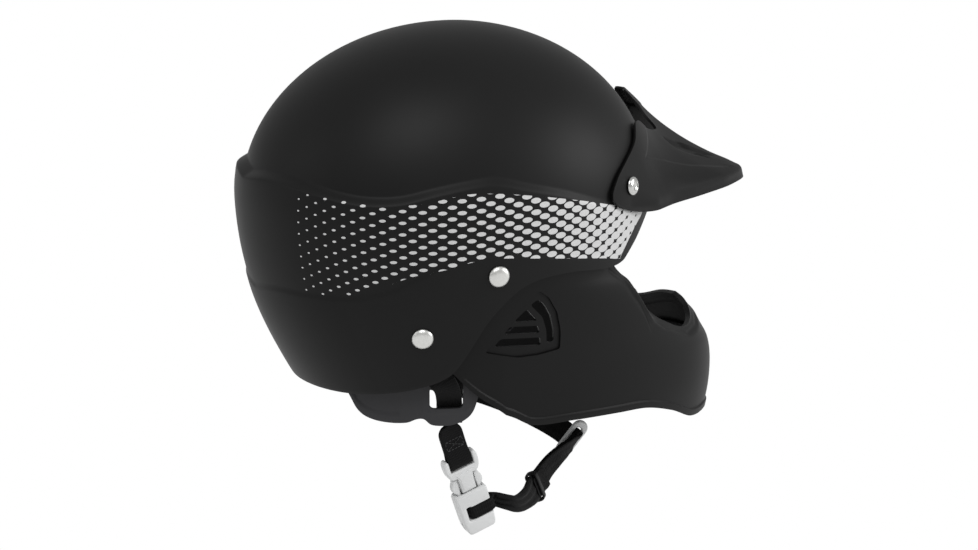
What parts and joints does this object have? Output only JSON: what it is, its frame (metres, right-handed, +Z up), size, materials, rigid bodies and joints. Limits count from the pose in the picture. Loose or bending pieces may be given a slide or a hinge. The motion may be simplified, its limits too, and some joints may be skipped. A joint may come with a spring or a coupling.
{
  "type": "kayak helmet",
  "caption": "Full-face whitewater helmet with a raised side band, pointed visor, chin guard with side grilles, foam liner, nape cradle and a buckled chin strap.",
  "frame": {"origin": "middle of the wearer's head, level with the widest part of the shell", "axes": "+Z up through the crown, the face looks along -Y, the wearer's right is -X"},
  "size_m": [0.219, 0.3564, 0.3187],
  "materials": {
    "shell_plastic": "matte black injection-moulded plastic with a light-grey dot fade on the band",
    "guard_plastic": "matte black injection-moulded plastic",
    "visor_plastic": "matte black flexible plastic",
    "liner_foam": "black expanded foam",
    "pad_cloth": "soft black knitted cloth over foam",
    "cradle_rubber": "dark grey satin rubber",
    "keeper_rubber": "black rubber",
    "webbing": "black woven webbing",
    "buckle_plastic": "light grey satin acetal",
    "rivet_steel": "satin silver",
    "screw_steel": "bright turned steel"
  },
  "bodies": {
    "helmet": {"outer_shell": "shell_plastic", "face_guard": "guard_plastic", "impact_liner": "liner_foam", "crown_pad": "pad_cloth", "brow_pad": "pad_cloth", "side_pad_right": "pad_cloth", "side_pad_left": "pad_cloth", "nape_pad": "pad_cloth", "cheek_pad_right": "pad_cloth", "cheek_pad_left": "pad_cloth", "chin_pad": "pad_cloth", "front_rivets": "rivet_steel", "rear_rivets": "rivet_steel", "rivet_washers": "rivet_steel", "visor_screws": "screw_steel", "visor_washers": "cradle_rubber", "visor_nuts": "screw_steel", "front_strap_right": "webbing", "front_strap_left": "webbing", "rear_strap_right": "webbing", "rear_strap_left": "webbing", "occipital_cradle": "cradle_rubber", "cradle_pad": "pad_cloth"},
    "visor": {"visor": "visor_plastic"},
    "chin_strap": {"buckle_strap": "webbing", "buckle_plug": "buckle_plastic", "chin_webbing": "webbing", "strap_slider": "buckle_plastic"},
    "prong_front": {"prong_front": "buckle_plastic"},
    "prong_rear": {"prong_rear": "buckle_plastic"},
    "socket": {"buckle_socket": "buckle_plastic", "webbing_end": "webbing"},
    "keeper": {"strap_keeper": "keeper_rubber"}
  },
  "joints": [
    {"name": "visor_tilt", "type": "hinge", "parent": "helmet", "child": "visor", "pos_m": [0, -0.08785, 0.0095], "axis": [1, 0, 0], "range_deg": [0, 6]},
    {"name": "chin_strap_swing", "type": "hinge", "parent": "helmet", "child": "chin_strap", "pos_m": [0, 0.03214, -0.14108], "axis": [1, 0, 0], "range_deg": [0, 45]},
    {"name": "socket_release", "type": "slide", "parent": "chin_strap", "child": "socket", "axis": [0.1097, -0.3292, -0.9378], "range_m": [0, 0.012]},
    {"name": "prong_front_squeeze", "type": "hinge", "parent": "chin_strap", "child": "prong_front", "pos_m": [-0.07207, 0.01457, -0.1682], "axis": [0.994, 0.0364, 0.1036], "range_deg": [0, 4], "stiffness_Nm_per_rad": 0.02},
    {"name": "prong_rear_squeeze", "type": "hinge", "parent": "chin_strap", "child": "prong_rear", "pos_m": [-0.07207, 0.02891, -0.17323], "axis": [-0.994, -0.0364, -0.1036], "range_deg": [0, 4], "stiffness_Nm_per_rad": 0.02},
    {"name": "keeper_slide", "type": "slide", "parent": "chin_strap", "child": "keeper", "axis": [0.8087, -0.5882, 0], "range_m": [-0.006, 0.006]}
  ],
  "couplings": [
    {"joint": "prong_rear_squeeze", "follows": "prong_front_squeeze", "ratio": 1}
  ]
}
